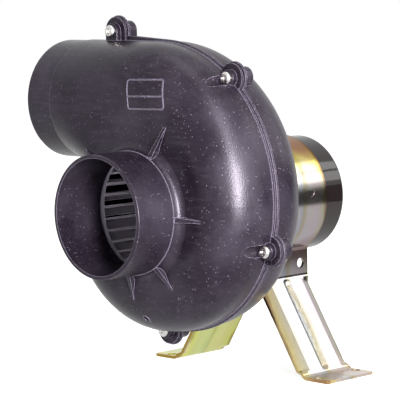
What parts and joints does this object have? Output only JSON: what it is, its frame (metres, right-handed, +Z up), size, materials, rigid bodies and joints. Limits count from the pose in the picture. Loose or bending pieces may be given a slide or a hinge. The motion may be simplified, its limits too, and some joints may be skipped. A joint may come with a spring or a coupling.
{
  "type": "ducted blower fan",
  "caption": "Black plastic scroll blower with round hose spigots, a squirrel-cage wheel and a can motor strapped in a bent plated-steel foot bracket.",
  "frame": {"origin": "on the floor, at the centre of the rectangle of four foot holes, under the motor's axis", "axes": "+Z up; the motor's axis lies along Y, with the inlet towards -Y and the motor towards +Y; the outlet points to -X, with +X to the right seen from the inlet"},
  "size_m": [0.1884, 0.1903, 0.2299],
  "materials": {
    "housing_plastic": "black moulded thermoplastic with a fine grain",
    "wheel_plastic": "black moulded thermoplastic",
    "bright_steel": "bright nickel-plated or ground steel",
    "black_steel": "black-oxide steel",
    "turned_brass": "turned or pressed brass",
    "black_rubber": "black rubber",
    "black_paint": "gloss black enamel",
    "bearing_bronze": "oil-filled sintered bronze",
    "white_nylon": "natural nylon",
    "lamination_steel": "stacked steel laminations",
    "copper_wire": "varnished copper wire",
    "copper_bar": "turned copper",
    "ferrite": "ground ferrite",
    "brown_board": "paper-phenolic board",
    "carbon": "pressed carbon",
    "yellow_zinc": "zinc plate with an iridescent yellow passivation",
    "yellow_zinc_bolt": "zinc plate with a yellow passivation"
  },
  "bodies": {
    "fan": {"front_shell": "housing_plastic", "rear_shell": "housing_plastic", "case_screws": "bright_steel", "motor_gasket": "black_rubber", "front_end_cap": "black_paint", "motor_can": "black_paint", "front_bearing": "bearing_bronze", "rear_bearing": "bearing_bronze", "field_magnets": "ferrite", "brush_plate": "brown_board", "brush_holders": "turned_brass", "carbon_brushes": "carbon", "brush_springs": "bright_steel", "tie_bolts": "bright_steel", "motor_screws": "bright_steel", "motor_screw_washers": "bright_steel", "lead_grommet": "black_rubber", "mounting_bracket": "yellow_zinc", "clamp_bolt": "yellow_zinc_bolt", "clamp_nut": "yellow_zinc_bolt", "clamp_washers": "yellow_zinc_bolt"},
    "rotor": {"blower_wheel": "wheel_plastic", "wheel_insert": "turned_brass", "wheel_set_screw": "black_steel", "motor_shaft": "bright_steel", "armature_core": "lamination_steel", "armature_windings": "copper_wire", "commutator": "copper_bar", "thrust_washers": "white_nylon"}
  },
  "joints": [
    {"name": "wheel_spin", "type": "hinge", "parent": "fan", "child": "rotor", "pos_m": [0, 0, 0.1106], "axis": [0, 1, 0], "continuous": true}
  ]
}
